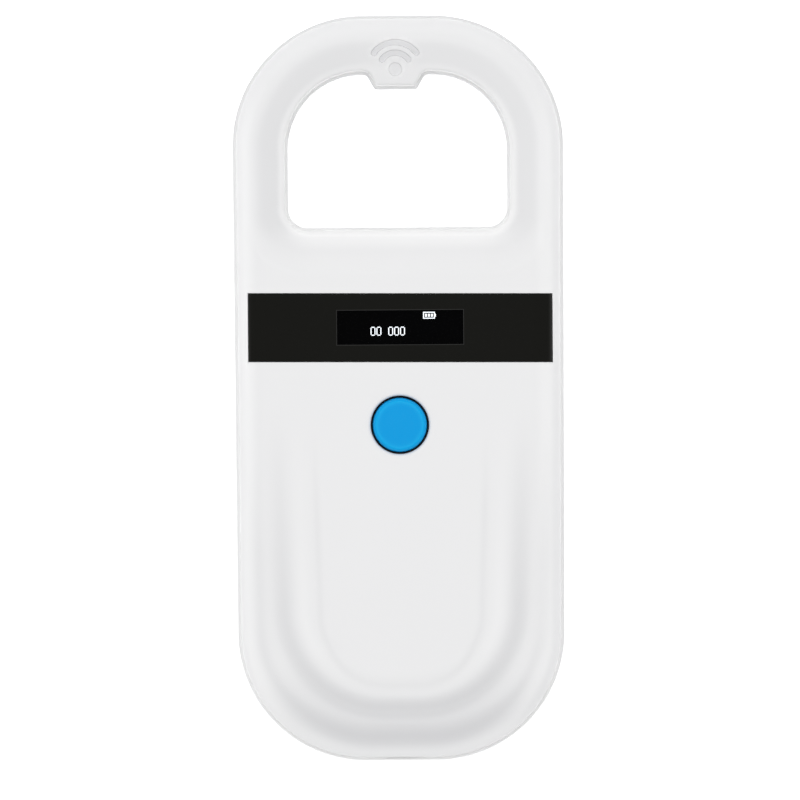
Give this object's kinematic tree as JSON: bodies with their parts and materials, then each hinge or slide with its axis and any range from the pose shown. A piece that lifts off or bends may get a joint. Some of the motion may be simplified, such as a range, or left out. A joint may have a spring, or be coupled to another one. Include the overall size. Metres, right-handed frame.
{
  "type": "microchip scanner",
  "caption": "Palm-sized animal microchip reader with a D-shaped reading loop, a dark display strip across its front and a round push button.",
  "frame": {"origin": "centre of the flat back face", "axes": "+Y towards the reading loop, +Z out of the display face, X across the width"},
  "size_m": [0.06, 0.135, 0.0204],
  "materials": {
    "housing_white": "fine satin moulding",
    "window_black": "polished black print behind clear plastic",
    "button_blue": "satin moulding",
    "seal_black": "soft black silicone",
    "foam": "closed cell foam",
    "display_glass": "dark display glass",
    "flex_film": "amber film",
    "board_green": "solder mask",
    "component_black": "moulded epoxy",
    "capacitor_brown": "dipped",
    "plated_steel": "bright plating",
    "screw_steel": "bright zinc plating",
    "copper_wire": "enamelled winding",
    "cell_foil": "satin foil pouch",
    "lead_red": "insulation",
    "lead_black": "insulation",
    "connector_ivory": "natural nylon"
  },
  "bodies": {
    "housing": {"front_shell": "housing_white", "rear_shell": "housing_white", "display_window": "window_black", "display_gasket": "foam", "oled_panel": "display_glass", "oled_flex": "flex_film", "button_seal": "seal_black", "switch_body": "component_black", "main_board": "board_green", "controller_chip": "component_black", "reader_chip": "component_black", "charger_chip": "component_black", "crystal": "plated_steel", "tuning_capacitor": "capacitor_brown", "power_inductor": "component_black", "usb_shell": "plated_steel", "usb_tongue": "component_black", "buzzer": "component_black", "antenna_coil": "copper_wire", "coil_lead_left": "copper_wire", "coil_lead_right": "copper_wire", "battery": "cell_foil", "battery_pad": "foam", "battery_lead_red": "lead_red", "battery_lead_black": "lead_black", "battery_plug": "connector_ivory", "battery_header": "connector_ivory", "housing_screw_1": "screw_steel", "housing_screw_2": "screw_steel", "housing_screw_3": "screw_steel", "housing_screw_4": "screw_steel", "board_screw_1": "screw_steel", "board_screw_2": "screw_steel", "board_screw_3": "screw_steel", "board_screw_4": "screw_steel"},
    "button": {"button_cap": "button_blue"},
    "plunger": {"switch_plunger": "component_black"}
  },
  "joints": [
    {"name": "button_press", "type": "slide", "parent": "housing", "child": "button", "axis": [0, 0, -1], "range_m": [0, 0.0005], "stiffness_N_per_m": 800},
    {"name": "plunger_press", "type": "slide", "parent": "housing", "child": "plunger", "axis": [0, 0, -1], "range_m": [0, 0.00025]}
  ],
  "couplings": [
    {"joint": "plunger_press", "follows": "button_press", "ratio": 0.5}
  ]
}
